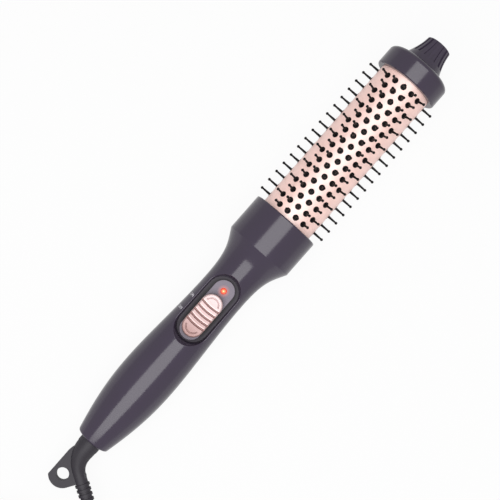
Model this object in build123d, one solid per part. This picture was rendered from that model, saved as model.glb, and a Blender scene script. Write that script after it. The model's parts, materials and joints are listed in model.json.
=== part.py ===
from build123d import *
import math
import os

# A curling iron brush: a perforated heated barrel with rows of cool pins, a cool tip, a round handle
# with a slide switch and pilot light, and a swivelling cord with a hanging loop.
# Millimetres. The brush is drawn along X with x = 0 at the cord end of the handle, the tip towards +X
# and the switch towards +Z. At the end everything is laid on its back on the surface it rests on.

# Handle
handle_length = 163.5
handle_wall = 2.4
end_radius = 11.6
end_slope = 13.4
end_corner = 1.4
belly_from_end = 56.4
belly_radius = 18.76
waist_to_front = 34.1
waist_radius = 15.54
shoulder_slope = 28.5
end_pull = 24.8
belly_back_pull = 16.8
belly_front_pull = 21.2
waist_back_pull = 24.7
waist_front_pull = 21.5
shoulder_pull = 9.2
front_web = 3.0
flat_gap = 0.2

# Screws that hold the two handle shells together
first_screw_from_end = 34.0
middle_screw_to_recess = 15.15
last_screw_to_front = 15.5
shell_screw_radius = 1.4
shell_screw_head_radius = 2.8
shell_screw_head = 2.0
shell_screw_bite = 7.0
screw_boss_radius = 3.2
screw_sleeve_radius = 3.8
screw_head_depth = 5.5
screw_gap = 0.1

# Collar and the heat-proof base that holds the barrel
collar_length = 26.7
collar_wall = 2.6
collar_lip = 3.1
collar_corner = 1.0
base_sleeve_wall = 2.18
base_shoulder = 7.8
base_ridge_height = 1.6
base_ridge = 2.7
base_floor_ring = 2.2
base_floor = 10.5
base_inner_step = 4.0

# Barrel
barrel_radius = 19.0
barrel_wall = 1.2
barrel_visible = 116.5
barrel_in_cap = 3.4
barrel_gap = 0.12

# Pins: rows on strips inside the barrel, standing out through its holes
pin_stand_out = 7.6
pin_ball_radius = 0.95
pin_foot_radius = 0.85
pin_neck_radius = 0.6
pin_boss_radius = 1.95
pin_hole_gap = 0.1
pin_boss_proud = 0.1
row_angle = 10.3
rows_in_group = 9
pins_in_row = 9
pin_pitch = 12.57
even_row_start = 10.55
odd_row_start = 4.3
pins_in_side_row = 16
side_pin_pitch = 7.113
side_row_start = 5.6
strip_under_barrel = 0.6
strip_thickness = 2.5
strip_width = 2.0
strip_end_gap = 0.2

# Heater between two aluminium spreaders
spreader_under_strip = 0.4
spreader_ear_gap = 0.2
ear_from = 48.5
ear_to = 83.0
spreader_half_gap = 1.5
spreader_inset = 2.0
heater_width = 16.0
heater_thickness = 2.2
heater_inset = 14.0
heater_front_inset = 14.1
film_thickness = 0.3
film_margin = 1.0
fuse_radius = 1.35
fuse_length = 10.0
fuse_pin_radius = 0.4
lead_radius = 0.9
lead_side = 4.0
lead_bend = 8.0
lead_board_overlap = 5.0
lead_board_side = 3.0
lead_board_run = 4.0
lead_clear_of_screw = 0.9
lead_web_run = 6.0
lead_base_run = 9.0

# Cool tip
tip_flange_wall = 3.88
tip_flange_length = 11.9
tip_flange_back_corner = 1.2
tip_shoulder_length = 3.9
tip_shoulder_radius = 16.9
tip_neck_radius = 14.6
tip_end_radius = 8.95
tip_nose_length = 18.2
tip_end_corner = 0.9
tip_flutes = 14
tip_flute_depth = 0.8
tip_fin_width = 2.0
tip_flutes_from = 5.2
plug_flange = 3.0
plug_spigot = 4.5
tip_post_radius = 5.0
tip_post_length = 18.0
tip_screw_radius = 1.4
tip_screw_bite = 8.5
tip_screw_head_radius = 2.6
tip_screw_head = 1.8
tip_screw_off_axis = 8.0

# Switch recess, plate, knob and slide switch
switch_to_front = 49.775
recess_length = 49.15
recess_half_width = 10.5
recess_floor = 7.8
recess_draft = 14.0
recess_wall = 2.2
recess_rim = 0.7
plate_length = 46.6
plate_shift = -0.625
plate_half_width = 7.4
plate_thickness = 1.2
plate_skirt = 1.9
window_length = 36.5
window_shift = 1.525
window_half_width = 4.6
knob_length = 32.1
knob_shift = -4.975
knob_half_width = 7.3
knob_lift = 0.25
knob_height = 6.3
knob_edge = 1.2
knob_grooves = 5
knob_groove_pitch = 3.65
knob_groove_radius = 0.75
knob_groove_depth = 0.95
knob_groove_bow = 32.0
knob_crescent_radius = 4.6
knob_crescent_half_width = 0.5
knob_crescent_from_middle = 1.2
knob_travel = 2.6
stem_length = 6.0
stem_width = 4.6
stem_bottom = 2.4
lever_length = 2.6
lever_width = 2.2
lever_top = 6.2
slider_gap = 0.3
switch_length = 17.0
switch_width = 8.0
switch_height = 4.2
switch_wall = 1.0
lens_shift = 15.375
lens_radius = 2.0
lens_flange_radius = 2.75
lens_flange = 1.0
lens_bottom = 1.4
lens_proud = 0.5
led_radius = 1.5
led_foot_radius = 1.9
led_foot = 1.0
led_height = 4.0

# Circuit board behind the switch
board_length = 49.0
board_shift = -1.225
board_half_width = 9.2
board_top = -3.0
board_thickness = 1.6
board_post_radius = 2.1
board_post_side = 7.0
board_post_inset = 4.0
board_screw_radius = 1.0
board_screw_head_radius = 1.9
board_screw_head = 1.3
board_screw_bite = 5.0
resistor_radius = 1.2
resistor_length = 6.5
diode_radius = 1.4
diode_length = 5.2
part_side = 5.8
part_shift = 8.275

# Swivel in the cord end of the handle
swivel_gap = 0.25
neck_radius = 6.0
swivel_flange_radius = 8.3
swivel_flange = 2.5
drum_radius = 4.5
drum_length = 13.4
ring_radius = 5.3
ring_width = 2.4
ring_places = (3.4, 9.4)
ring_gap = 0.05
pilot_radius = 1.5
pilot_length = 1.7
pilot_gap = 0.06
carrier_radius = 10.2
carrier_bore = 6.4
carrier_end = 1.7
carrier_inset = 0.9
carrier_rib = 1.5
brush_width = 2.0
brush_height = 2.6
brush_outer = 9.8
brush_tail = 0.9
brush_gap = 0.15
supply_lead_side = 6.6
supply_lead_bend = 5.0
supply_lead_start_run = 10.0
supply_lead_slant_end = 24.0
supply_lead_drop_start = 14.0
supply_lead_drop_end = 4.0
supply_lead_overlap = 1.6

# Strain relief with the hanging loop and the ribbed bend guard
gland_radius = 7.45
gland_blend_from = 5.0
gland_blend_pull = 9.0
guard_blend_pull = 8.0
gland_step = 0.25
web_root_x = -14.0
loop_x = -28.9
loop_y = 0.2
loop_radius = 9.3
loop_hole_radius = 4.3
loop_thickness = 5.0
loop_top = 7.45
guard_start_x = -12.0
guard_start_y = -3.2
guard_bend_radius = 13.4
guard_angle = 58.6
guard_radius = 4.2
guard_tip_radius = 3.6
guard_straight = 30.0
guard_ribs = 8
guard_rib_start = 5.6
guard_rib_pitch = 3.3
guard_rib_width = 1.6
guard_rib_radius = 4.85
guard_rib_tip_radius = 4.3

# Cord: about 1.8 m of round 6.2 mm flex, its spare length in a tied coil of four layers
cord_diameter = 6.2
cord_lift = 0.5
cord_first_run = 13.0
cord_last_run = 12.5
cord_bends = ((-225.86, -54.9, 11.3), (-239.57, -60.38, 7.0))
coil_place = (-270.0, -21.0)
coil_heading = 175.0
coil_turn_gap = 0.5
coil_inner_radius = 26.3
coil_steps = 4
coil_exit_run = 45.0
tie_width = 4.0
tie_thickness = 0.35
tie_gap = 0.1
plug_relief = 20.0
plug_relief_tip = 3.7
plug_body_length = 30.0
plug_body_width = 25.0
plug_corner = 4.0
blade_length = 17.5
blade_height = 6.3
blade_thickness = 1.5
blade_spacing = 12.7

# Radii that follow from the barrel's
barrel_inner = barrel_radius - barrel_wall
collar_radius = barrel_radius + barrel_gap + base_sleeve_wall + flat_gap / 2 + collar_wall
base_spigot_radius = collar_radius - base_shoulder
base_ridge_radius = base_spigot_radius + base_ridge_height
strip_outer = barrel_inner - strip_under_barrel
strip_inner = strip_outer - strip_thickness
base_passage_radius = strip_inner - base_floor_ring
spreader_radius = strip_inner - spreader_under_strip
spreader_ear_radius = barrel_inner - spreader_ear_gap
pin_tip_radius = barrel_radius + pin_stand_out
tip_flange_radius = barrel_radius + barrel_gap + tip_flange_wall

# Places along X that follow from the sizes above
web_back = handle_length - front_web
waist_from_end = handle_length - waist_to_front
switch_middle = handle_length - switch_to_front
recess_back = switch_middle - recess_length / 2
recess_front = switch_middle + recess_length / 2
plate_back = switch_middle + plate_shift - plate_length / 2
plate_front = switch_middle + plate_shift + plate_length / 2
window_back = switch_middle + window_shift - window_length / 2
window_front = switch_middle + window_shift + window_length / 2
knob_middle = switch_middle + knob_shift
knob_back = knob_middle - knob_length / 2
knob_front = knob_middle + knob_length / 2
lens_place = switch_middle + lens_shift
board_back = switch_middle + board_shift - board_length / 2
board_front = switch_middle + board_shift + board_length / 2
part_place = switch_middle + part_shift
shell_screw_places = (
    first_screw_from_end, recess_back - middle_screw_to_recess, handle_length - last_screw_to_front)
collar_front = handle_length + collar_length
base_front = collar_front - collar_lip - flat_gap
barrel_back = handle_length + base_floor
cap_back = collar_front + barrel_visible
barrel_front = cap_back + barrel_in_cap
strip_back = barrel_back + base_inner_step + strip_end_gap
strip_front = barrel_front - plug_spigot - strip_end_gap
plate_top = recess_floor + plate_thickness
knob_bottom = plate_top + knob_lift
knob_top = knob_bottom + knob_height
guard_turn = math.radians(guard_angle)
guard_way = Vector(-math.cos(guard_turn), -math.sin(guard_turn), 0)
on_end = (Align.CENTER, Align.CENTER, Align.MIN)


def rod(radius, start, end):
    """A round rod along X."""
    return Pos(start, 0, 0) * Rot(Y=90) * Cylinder(radius, end - start, align=on_end)


def post(radius, low, high):
    """A round post along Z."""
    return Pos(0, 0, low) * Cylinder(radius, high - low, align=on_end)


def block(x, y, z):
    """A box between pairs of limits."""
    size = (x[1] - x[0], y[1] - y[0], z[1] - z[0])
    return Pos(x[0], y[0], z[0]) * Box(*size, align=(Align.MIN, Align.MIN, Align.MIN))


def stadium(back, front, half_width):
    """A slot outline along X, as a face at z = 0."""
    return Pos((back + front) / 2, 0, 0) * SlotOverall(front - back, 2 * half_width)


def turned(points):
    """The solid made by turning a closed outline of (x, radius) points about X."""
    return revolve(make_face(Polyline(*points, close=True)), Axis.X, 360)


def handle_form(inset):
    """The handle's round form, drawn in by inset all along."""
    end = end_radius - inset
    belly = belly_radius - inset
    waist = waist_radius - inset
    shoulder = collar_radius - inset
    rise = math.tan(math.radians(end_slope))
    fall = math.tan(math.radians(shoulder_slope))
    outline = [
        Bezier((0, end), (end_pull, end + end_pull * rise), (belly_from_end - belly_back_pull, belly),
               (belly_from_end, belly)),
        Bezier((belly_from_end, belly), (belly_from_end + belly_front_pull, belly),
               (waist_from_end - waist_back_pull, waist), (waist_from_end, waist)),
        Bezier((waist_from_end, waist), (waist_from_end + waist_front_pull, waist),
               (handle_length - shoulder_pull, shoulder - shoulder_pull * fall), (handle_length, shoulder)),
        Polyline((handle_length, shoulder), (handle_length, 0), (0, 0), (0, end)),
    ]
    return revolve(make_face(outline), Axis.X, 360)


def half_space(sign):
    """All that lies on one side of the parting plane."""
    far = 2 * handle_length
    low, high = (0, far) if sign > 0 else (-far, 0)
    return block((-far, far), (-far, far), (low, high))


def handle_hollow():
    """The room inside the handle, between its end wall and its front web."""
    return handle_form(handle_wall) & rod(2 * collar_radius, handle_wall, web_back)


def handle_half(sign):
    """One half of the hollow handle, with the ribs that hold the contact carrier."""
    whole = handle_form(0)
    rim = whole.edges().filter_by(GeomType.CIRCLE).sort_by(Axis.X)[0]
    whole = fillet(rim, end_corner)
    hollow = handle_hollow()
    shell = whole - hollow - rod(neck_radius + swivel_gap, -1, handle_wall + 1)
    shell -= rod(base_spigot_radius + flat_gap, web_back - 1, handle_length + 1)
    carrier_back = handle_wall + swivel_gap + swivel_flange + carrier_inset
    for place in ring_places:
        middle = carrier_back + place
        rib = rod(2 * belly_radius, middle - carrier_rib / 2, middle + carrier_rib / 2)
        shell += (rib & hollow) - rod(carrier_radius + screw_gap, 0, handle_length)
    return shell & half_space(sign)


def recess(grow):
    """The drafted room of the switch recess, or that of the pan round it."""
    floor = Pos(0, 0, recess_floor - grow) * stadium(
        recess_back - grow, recess_front + grow, recess_half_width + grow)
    return extrude(floor, collar_radius, taper=-recess_draft)


def recess_edges(shell):
    """The recess's upper edges, where its wall meets the handle's outside."""
    edges = []
    for edge in shell.edges().filter_by(GeomType.BSPLINE):
        middle = edge @ 0.5
        outside = math.hypot(middle.Y, middle.Z) > waist_radius - flat_gap
        beside = recess_back - 2 * recess_wall < middle.X < recess_front + 2 * recess_wall
        if outside and beside:
            edges.append(edge)
    return edges


def handle_front_shell():
    shell = handle_half(1)
    whole = handle_form(0)
    shell += recess(recess_wall) & whole & half_space(1)
    shell -= recess(0)
    shell = fillet(recess_edges(shell), recess_rim)
    shell -= extrude(stadium(window_back, window_front, window_half_width), recess_floor + 1)
    hollow = handle_hollow()
    for place in shell_screw_places:
        boss = Pos(place, 0, 0) * post(screw_boss_radius, 0, collar_radius) & hollow
        shell += boss
        shell -= Pos(place, 0, 0) * post(shell_screw_radius + screw_gap / 2, -1, shell_screw_bite + 1)
    for x in board_post_places():
        for y in (-board_post_side, board_post_side):
            shell += Pos(x, y, 0) * post(board_post_radius, board_top, recess_floor - recess_wall + 0.1)
            shell -= Pos(x, y, 0) * post(board_screw_radius + screw_gap / 2, board_top - 1,
                                         board_top + board_screw_bite + 0.5)
    return shell


def handle_rear_shell():
    shell = handle_half(-1)
    hollow = handle_hollow()
    head_hole = shell_screw_head_radius + 2 * screw_gap
    for place in shell_screw_places:
        shell += Pos(place, 0, 0) * post(screw_sleeve_radius, -collar_radius, 0) & hollow
        shell -= Pos(place, 0, 0) * post(shell_screw_radius + 2 * screw_gap, -collar_radius, 1)
        shell -= Pos(place, 0, 0) * post(head_hole, -collar_radius, -screw_head_depth)
    return shell


def screw(radius, length, head_radius, head):
    """A pan-headed screw along Z with its seat at z = 0, its point up, and a cross in its head."""
    body = post(radius, 0, length - radius) + Pos(0, 0, length - radius) * Cone(
        radius, 0.3 * radius, radius, align=on_end)
    cap = post(head_radius, -head, 0)
    cap = fillet(cap.edges().sort_by(Axis.Z)[0], 0.35 * head)
    slot = Box(1.2 * head_radius, 0.3 * head_radius, head)
    cross = slot + Rot(Z=90) * slot
    return body + (cap - Pos(0, 0, -head) * cross)


def shell_screws():
    length = screw_head_depth + shell_screw_bite
    made = screw(shell_screw_radius, length, shell_screw_head_radius, shell_screw_head)
    return Compound(children=[Pos(place, 0, -screw_head_depth) * made for place in shell_screw_places])


def barrel_collar():
    inner = collar_radius - collar_wall
    mouth = barrel_radius + barrel_gap
    lip_back = collar_front - collar_lip
    sleeve = turned([
        (handle_length, inner), (handle_length, collar_radius), (collar_front, collar_radius),
        (collar_front, mouth), (lip_back, mouth), (lip_back, inner)])
    rim = sleeve.edges().group_by(Axis.X)[-1].sort_by(SortBy.LENGTH)[-1]
    return fillet(rim, collar_corner)


def barrel_base():
    """The heat-proof base: a ridge and spigot held by the shells, and a pocket for the barrel."""
    ridge_back = web_back - flat_gap - base_ridge
    outer = collar_radius - collar_wall - flat_gap / 2
    pocket = barrel_radius + barrel_gap
    lining = barrel_inner - barrel_gap
    return turned([
        (ridge_back, base_passage_radius), (ridge_back, base_ridge_radius),
        (web_back - flat_gap, base_ridge_radius), (web_back - flat_gap, base_spigot_radius),
        (handle_length + flat_gap / 2, base_spigot_radius), (handle_length + flat_gap / 2, outer),
        (base_front, outer), (base_front, pocket), (barrel_back, pocket), (barrel_back, lining),
        (barrel_back + base_inner_step, lining), (barrel_back + base_inner_step, strip_inner),
        (barrel_back, strip_inner), (barrel_back, base_passage_radius)])


def row_holes(start, pitch, count):
    """Where the pins of one row stand along X."""
    return [collar_front + start + pitch * i for i in range(count)]


def group_rows():
    """The rows of one group: their angles, where their pins stand and which strip they are on."""
    rows = []
    for i in range(rows_in_group):
        steps = i - (rows_in_group - 1) // 2
        kind = "even" if steps % 2 == 0 else "odd"
        rows.append((steps * row_angle, kind))
    return rows


def row_of(kind):
    if kind == "side":
        return row_holes(side_row_start, side_pin_pitch, pins_in_side_row)
    start = even_row_start if kind == "even" else odd_row_start
    return row_holes(start, pin_pitch, pins_in_row)


def pin_rows():
    """Every row of pins: its node's name, its turn about X from the switch side, and its kind."""
    rows = []
    for group, turn in (("front", 0), ("back", 180)):
        for number, (angle, kind) in enumerate(group_rows(), 1):
            rows.append((f"{group}_pin_row_{number}", turn + angle, kind))
    rows.append(("left_pin_row", 90, "side"))
    rows.append(("right_pin_row", -90, "side"))
    return rows


def barrel():
    bore = rod(barrel_inner, barrel_back - 1, barrel_front + 1)
    tube = rod(barrel_radius, barrel_back, barrel_front) - bore
    hole = post(pin_boss_radius + pin_hole_gap, barrel_inner - 2, barrel_radius + 2)
    holes = []
    for _, turn, kind in pin_rows():
        for x in row_of(kind):
            holes.append(Rot(X=-turn) * Pos(x, 0, 0) * hole)
    return tube - holes


def pin():
    """One moulded pin along Z: its boss, its tapered shaft and its ball tip."""
    top = barrel_radius + pin_boss_proud
    ball = pin_tip_radius - pin_ball_radius
    shaft_top = ball - 0.6 * pin_ball_radius
    low = strip_outer - 0.2
    outline = Polyline(
        (0, low), (pin_boss_radius, low), (pin_boss_radius, top), (pin_foot_radius, top),
        (pin_neck_radius, shaft_top), (0, shaft_top), close=True)
    shaft = revolve(Plane.XZ * make_face(outline), Axis.Z, 360)
    return shaft + Pos(0, 0, ball) * Sphere(pin_ball_radius)


def pin_strip(kind):
    """A strip inside the barrel with its row of pins, facing +Z."""
    bar = block((strip_back, strip_front), (-strip_width / 2, strip_width / 2), (strip_inner, strip_outer))
    one = pin()
    return bar + [Pos(x, 0, 0) * one for x in row_of(kind)]


def heat_spreader():
    """One aluminium half: a D-shaped bar with two ears that touch the barrel's plain bands."""
    start = barrel_back + spreader_inset
    ears_start = barrel_back + base_inner_step + strip_end_gap
    end = barrel_front - plug_spigot - 1.5
    ears = Sketch()
    for side in (-1, 1):
        first = math.radians(ear_from)
        last = math.radians(ear_to)
        far = 2 * spreader_ear_radius
        sector = Polygon((0, 0), (side * far * math.sin(first), far * math.cos(first)),
                         (side * far * math.sin(last), far * math.cos(last)), align=None)
        ears += Circle(spreader_ear_radius) & sector
    upper = Pos(0, spreader_half_gap) * Rectangle(4 * spreader_radius, 2 * spreader_ear_radius,
                                                  align=(Align.CENTER, Align.MIN))
    across = Plane(origin=(0, 0, 0), x_dir=(0, 1, 0), z_dir=(1, 0, 0))
    bar = Pos(start, 0, 0) * extrude(across * (Circle(spreader_radius) & upper), end - start)
    bar += Pos(ears_start, 0, 0) * extrude(across * (ears & upper), end - ears_start)
    hole = rod(tip_screw_radius + screw_gap / 2, end - tip_screw_bite - 1, end + 1)
    return bar - Pos(0, 0, tip_screw_off_axis) * hole


def heater_back():
    return barrel_back + heater_inset


def heater_front():
    return barrel_front - heater_front_inset


def ptc_heater():
    half = heater_width / 2
    thick = heater_thickness / 2
    return block((heater_back(), heater_front()), (-half, half), (-thick, thick))


def insulating_films():
    back = heater_back() - film_margin
    half = heater_width / 2 + film_margin
    low = heater_thickness / 2 + 0.02
    film = block((back, heater_front() + film_margin), (-half, half), (low, low + film_thickness))
    return Compound(children=[film, Rot(X=180) * film])


def thermal_fuse():
    end = heater_back() - 2
    body = Pos(0, lead_side, 0) * rod(fuse_radius, end - fuse_length, end)
    return body + Pos(0, lead_side, 0) * rod(fuse_pin_radius, end - 0.1, heater_back())


def wire(points, bend):
    """A round insulated lead along a route with rounded corners."""
    route = FilletPolyline(*points, radius=bend)
    start = Plane(origin=route @ 0, z_dir=route % 0)
    return sweep(start * Circle(lead_radius), path=route)


def heater_leads():
    low = board_top + lead_radius + 0.05
    side = screw_sleeve_radius + lead_radius + lead_clear_of_screw
    leads = []
    for sign, end in ((1, heater_back() - 2 - fuse_length), (-1, heater_back())):
        points = [
            (board_front - lead_board_overlap, sign * lead_board_side, low),
            (board_front + lead_board_run, sign * side, low),
            (web_back - lead_web_run, sign * side, low),
            (web_back + lead_base_run, sign * lead_side, 0),
            (end, sign * lead_side, 0)]
        leads.append(wire(points, lead_bend))
    return Compound(children=leads)


def tip_plug():
    """The heat-proof plug in the barrel's open end, with the post that carries the cool tip."""
    back = barrel_front - plug_spigot
    front = barrel_front + plug_flange
    pad = spreader_radius - 0.8
    lining = barrel_inner - barrel_gap
    rim = barrel_radius - 0.1
    body = turned([
        (back - 1.4, 0), (back - 1.4, pad), (back, pad), (back, lining), (barrel_front, lining),
        (barrel_front, rim), (front, rim), (front, tip_post_radius),
        (front + tip_post_length, tip_post_radius), (front + tip_post_length, 0)])
    hole = rod(tip_screw_radius + screw_gap, back - 2, front + 1)
    for side in (-1, 1):
        body -= Pos(0, 0, side * tip_screw_off_axis) * hole
    return body


def tip_screws():
    front = barrel_front + plug_flange
    length = plug_flange + plug_spigot + tip_screw_bite
    made = Rot(Y=-90) * screw(tip_screw_radius, length, tip_screw_head_radius, tip_screw_head)
    return Compound(children=[Pos(front, 0, side * tip_screw_off_axis) * made for side in (-1, 1)])


def nose_form(inset):
    """The concave nose of the cool tip, drawn in by inset."""
    start = cap_back + tip_flange_length + tip_shoulder_length
    end = start + tip_nose_length
    neck = tip_neck_radius - inset
    tip = tip_end_radius - inset
    outline = [
        Bezier((start, neck), (start + 0.33 * tip_nose_length, neck - 0.55 * (neck - tip)),
               (end - 0.33 * tip_nose_length, tip + 0.06 * (neck - tip)), (end, tip)),
        Polyline((end, tip), (end, 0), (start, 0), (start, neck)),
    ]
    return revolve(make_face(outline), Axis.X, 360)


def tip_cap():
    flange_front = cap_back + tip_flange_length
    nose_back = flange_front + tip_shoulder_length
    nose_front = nose_back + tip_nose_length
    pull = 0.55 * (tip_flange_radius - tip_shoulder_radius)
    outline = [
        Polyline((cap_back, 0), (cap_back, tip_flange_radius), (flange_front, tip_flange_radius)),
        Bezier((flange_front, tip_flange_radius),
               (flange_front + 0.6 * tip_shoulder_length, tip_flange_radius),
               (nose_back, tip_shoulder_radius + pull), (nose_back, tip_shoulder_radius)),
        Polyline((nose_back, tip_shoulder_radius), (nose_back, 0), (cap_back, 0)),
    ]
    flange = revolve(make_face(outline), Axis.X, 360)
    flange = fillet(flange.edges().group_by(Axis.X)[0].sort_by(SortBy.LENGTH)[-1], tip_flange_back_corner)
    nose = nose_form(0)
    nose = fillet(nose.edges().filter_by(GeomType.CIRCLE).sort_by(Axis.X)[-1], tip_end_corner)
    half = tip_fin_width / 2
    fin = block((nose_back, nose_front + 1), (-half, half), (0, 2 * tip_neck_radius))
    fins = [Rot(X=360 * i / tip_flutes) * fin for i in range(tip_flutes)]
    smooth = rod(2 * tip_neck_radius, nose_back - 1, nose_back + tip_flutes_from)
    nose = (nose & (smooth + fins)) + nose_form(tip_flute_depth)
    cap = flange + nose
    cap -= rod(barrel_radius + barrel_gap, cap_back - 1, barrel_front + plug_flange + flat_gap)
    heads_radius = tip_screw_off_axis + tip_screw_head_radius + 1
    cap -= rod(heads_radius, cap_back, barrel_front + plug_flange + tip_screw_head + 0.8)
    post_end = barrel_front + plug_flange + tip_post_length
    return cap - rod(tip_post_radius + ring_gap, cap_back, post_end + flat_gap)


def stem_place():
    return knob_middle - 0.5


def switch_plate():
    """The grey plate the knob slides on, with a skirt in the shell's window."""
    face = stadium(plate_back, plate_front, plate_half_width)
    top = Pos(0, 0, recess_floor) * extrude(face, plate_thickness)
    gap = flat_gap
    skirt = Pos(0, 0, recess_floor - plate_skirt) * extrude(
        stadium(window_back + gap, window_front - gap, window_half_width - gap), plate_skirt)
    plate = top + skirt
    plate = fillet(plate.edges().group_by(Axis.Z)[-1], 0.4)
    low = recess_floor - plate_skirt - 1
    reach = stem_length / 2 + slider_gap
    side = stem_width / 2 + slider_gap
    back = stem_place() - reach - knob_travel
    slot = block((back, stem_place() + reach), (-side, side), (low, plate_top + 1))
    return plate - slot - Pos(lens_place, 0, 0) * post(lens_radius + screw_gap, low, plate_top + 1)


def switch_knob():
    """The sliding knob: ribbed across its top, with a thumb crescent at each end and a stem below."""
    body = Pos(0, 0, knob_bottom) * extrude(stadium(knob_back, knob_front, knob_half_width), knob_height)
    body = fillet(body.edges().group_by(Axis.Z)[-1], knob_edge)
    across = knob_top - knob_groove_depth + knob_groove_radius
    for i in range(knob_grooves):
        x = knob_middle + (i - (knob_grooves - 1) / 2) * knob_groove_pitch
        body -= Pos(x + knob_groove_bow, 0, across) * Torus(knob_groove_bow, knob_groove_radius)
    reach = 2 * knob_half_width
    for sign, middle in ((1, knob_front - knob_half_width), (-1, knob_back + knob_half_width)):
        ring = Torus(knob_crescent_radius, knob_crescent_half_width)
        outer_part = Pos(sign * (reach / 2 + knob_crescent_from_middle), 0, 0) * Box(reach, reach, reach)
        body -= Pos(middle, 0, knob_top) * (ring & outer_part)
    half = stem_width / 2
    stem = block((stem_place() - stem_length / 2, stem_place() + stem_length / 2), (-half, half),
                 (stem_bottom, knob_bottom + 0.1))
    reach = lever_length / 2 + screw_gap
    side = lever_width / 2 + screw_gap
    socket = block((stem_place() - reach, stem_place() + reach), (-side, side),
                   (stem_bottom - 1, lever_top + screw_gap))
    return body + stem - socket


def switch_lever():
    """The lever of the slide switch, with its foot inside the switch's housing."""
    low = board_top + switch_wall + 0.3
    foot_top = board_top + switch_height - switch_wall - 0.1
    x = stem_place()
    foot = block((x - 2.6, x + 2.6), (-2.4, 2.4), (low, foot_top))
    reach = lever_length / 2
    return foot + block((x - reach, x + reach), (-lever_width / 2, lever_width / 2), (low, lever_top))


def slide_switch():
    """The housing of the slide switch, open on top along its lever's travel."""
    x = stem_place() - knob_travel / 2
    top = board_top + switch_height
    half = switch_length / 2
    side = switch_width / 2
    body = block((x - half, x + half), (-side, side), (board_top, top))
    floor = board_top + switch_wall
    sway = knob_travel / 2 + slider_gap
    room_side = 2.4 + slider_gap
    room = block((x - 2.6 - sway, x + 2.6 + sway), (-room_side, room_side), (floor, top - switch_wall))
    reach = lever_length / 2 + sway
    mouth_side = lever_width / 2 + slider_gap
    mouth = block((x - reach, x + reach), (-mouth_side, mouth_side), (floor, top + 1))
    return body - room - mouth


def board_post_places():
    return (board_back + board_post_inset, board_front - board_post_inset)


def circuit_board():
    half = board_half_width
    board = block((board_back, board_front), (-half, half), (board_top - board_thickness, board_top))
    hole = post(board_screw_radius + screw_gap, board_top - board_thickness - 1, board_top + 1)
    for x in board_post_places():
        for y in (-board_post_side, board_post_side):
            board -= Pos(x, y, 0) * hole
    return board


def board_screws():
    length = board_thickness + board_screw_bite
    made = screw(board_screw_radius, length, board_screw_head_radius, board_screw_head)
    low = board_top - board_thickness
    return Compound(children=[Pos(x, y, low) * made
                              for x in board_post_places() for y in (-board_post_side, board_post_side)])


def board_parts():
    """The resistor and the diode of the pilot light, lying on the board."""
    resistor = Rot(Y=90) * Cylinder(resistor_radius, resistor_length)
    diode = Rot(Y=90) * Cylinder(diode_radius, diode_length)
    return Compound(children=[
        Pos(part_place, part_side, board_top + resistor_radius) * resistor,
        Pos(part_place, -part_side, board_top + diode_radius) * diode])


def pilot_led():
    foot = post(led_foot_radius, board_top, board_top + led_foot)
    body = post(led_radius, board_top, board_top + led_height - led_radius)
    dome = Pos(0, 0, board_top + led_height - led_radius) * Sphere(led_radius)
    return Pos(lens_place, 0, 0) * (foot + body + dome)


def indicator_lens():
    """The clear light pipe over the pilot light, flanged under the plate and domed on top."""
    seat = recess_floor - plate_skirt - 0.1
    pipe = post(lens_radius, lens_bottom, plate_top + lens_proud)
    pipe = fillet(pipe.edges().sort_by(Axis.Z)[-1], 0.9 * lens_proud)
    return Pos(lens_place, 0, 0) * (pipe + post(lens_flange_radius, seat - lens_flange, seat))


def swivel_back():
    """Where the flange of the strain relief ends and the slip ring drum starts."""
    return handle_wall + swivel_gap + swivel_flange


def slip_ring_drum():
    start = swivel_back()
    drum = rod(drum_radius, start, start + drum_length)
    return drum + rod(pilot_radius, start + drum_length, start + drum_length + pilot_length)


def slip_rings():
    rings = []
    for place in ring_places:
        middle = swivel_back() + place
        rings.append(rod(ring_radius, middle - ring_width / 2, middle + ring_width / 2)
                     - rod(drum_radius + ring_gap, 0, handle_length))
    return Compound(children=rings)


def brush_shape(index, gap):
    """A spring contact on one slip ring, with a tail along the carrier, or the groove it lies in."""
    sign = 1 if index == 0 else -1
    x = swivel_back() + ring_places[index]
    half_x = brush_width / 2 + gap
    half_z = brush_height / 2 + gap
    inner = ring_radius + brush_gap - gap * 8
    outer = brush_outer + gap * 8
    front = swivel_back() + drum_length + swivel_gap + carrier_end
    arm = block((x - half_x, x + half_x), (inner, outer), (-half_z, half_z))
    tail = block((x, front + gap), (brush_outer - brush_tail - gap, outer), (-half_z, half_z))
    return Rot(X=0 if sign > 0 else 180) * (arm + tail)


def contact_brushes():
    return Compound(children=[brush_shape(0, 0), brush_shape(1, 0)])


def contact_carrier():
    """The fixed ring round the slip rings, held by the shells' ribs."""
    back = swivel_back() + carrier_inset
    inner_front = swivel_back() + drum_length + swivel_gap
    body = rod(carrier_radius, back, inner_front + carrier_end) - rod(carrier_bore, back - 1, inner_front)
    body -= rod(pilot_radius + pilot_gap, back, inner_front + carrier_end + 1)
    return body - brush_shape(0, 0.1) - brush_shape(1, 0.1)


def supply_leads():
    start = swivel_back() + drum_length + swivel_gap + carrier_end + flat_gap
    high = brush_outer - lead_radius
    low = board_top + lead_radius + 0.05
    leads = []
    for sign in (1, -1):
        side = sign * supply_lead_side
        points = [
            (start, sign * high, 0), (start + supply_lead_start_run, sign * high, 0),
            (start + supply_lead_slant_end, side, 0), (board_back - supply_lead_drop_start, side, 0),
            (board_back - supply_lead_drop_end, side, low), (board_back + supply_lead_overlap, side, low)]
        leads.append(wire(points, supply_lead_bend))
    return Compound(children=leads)


def guard_bend_end():
    """Where the bend guard's curved part ends and its straight, ribbed part starts."""
    return Vector(guard_start_x - guard_bend_radius * math.sin(guard_turn),
                  guard_start_y - guard_bend_radius * (1 - math.cos(guard_turn)), 0)


def guard_tip():
    return guard_bend_end() + guard_way * guard_straight


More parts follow.
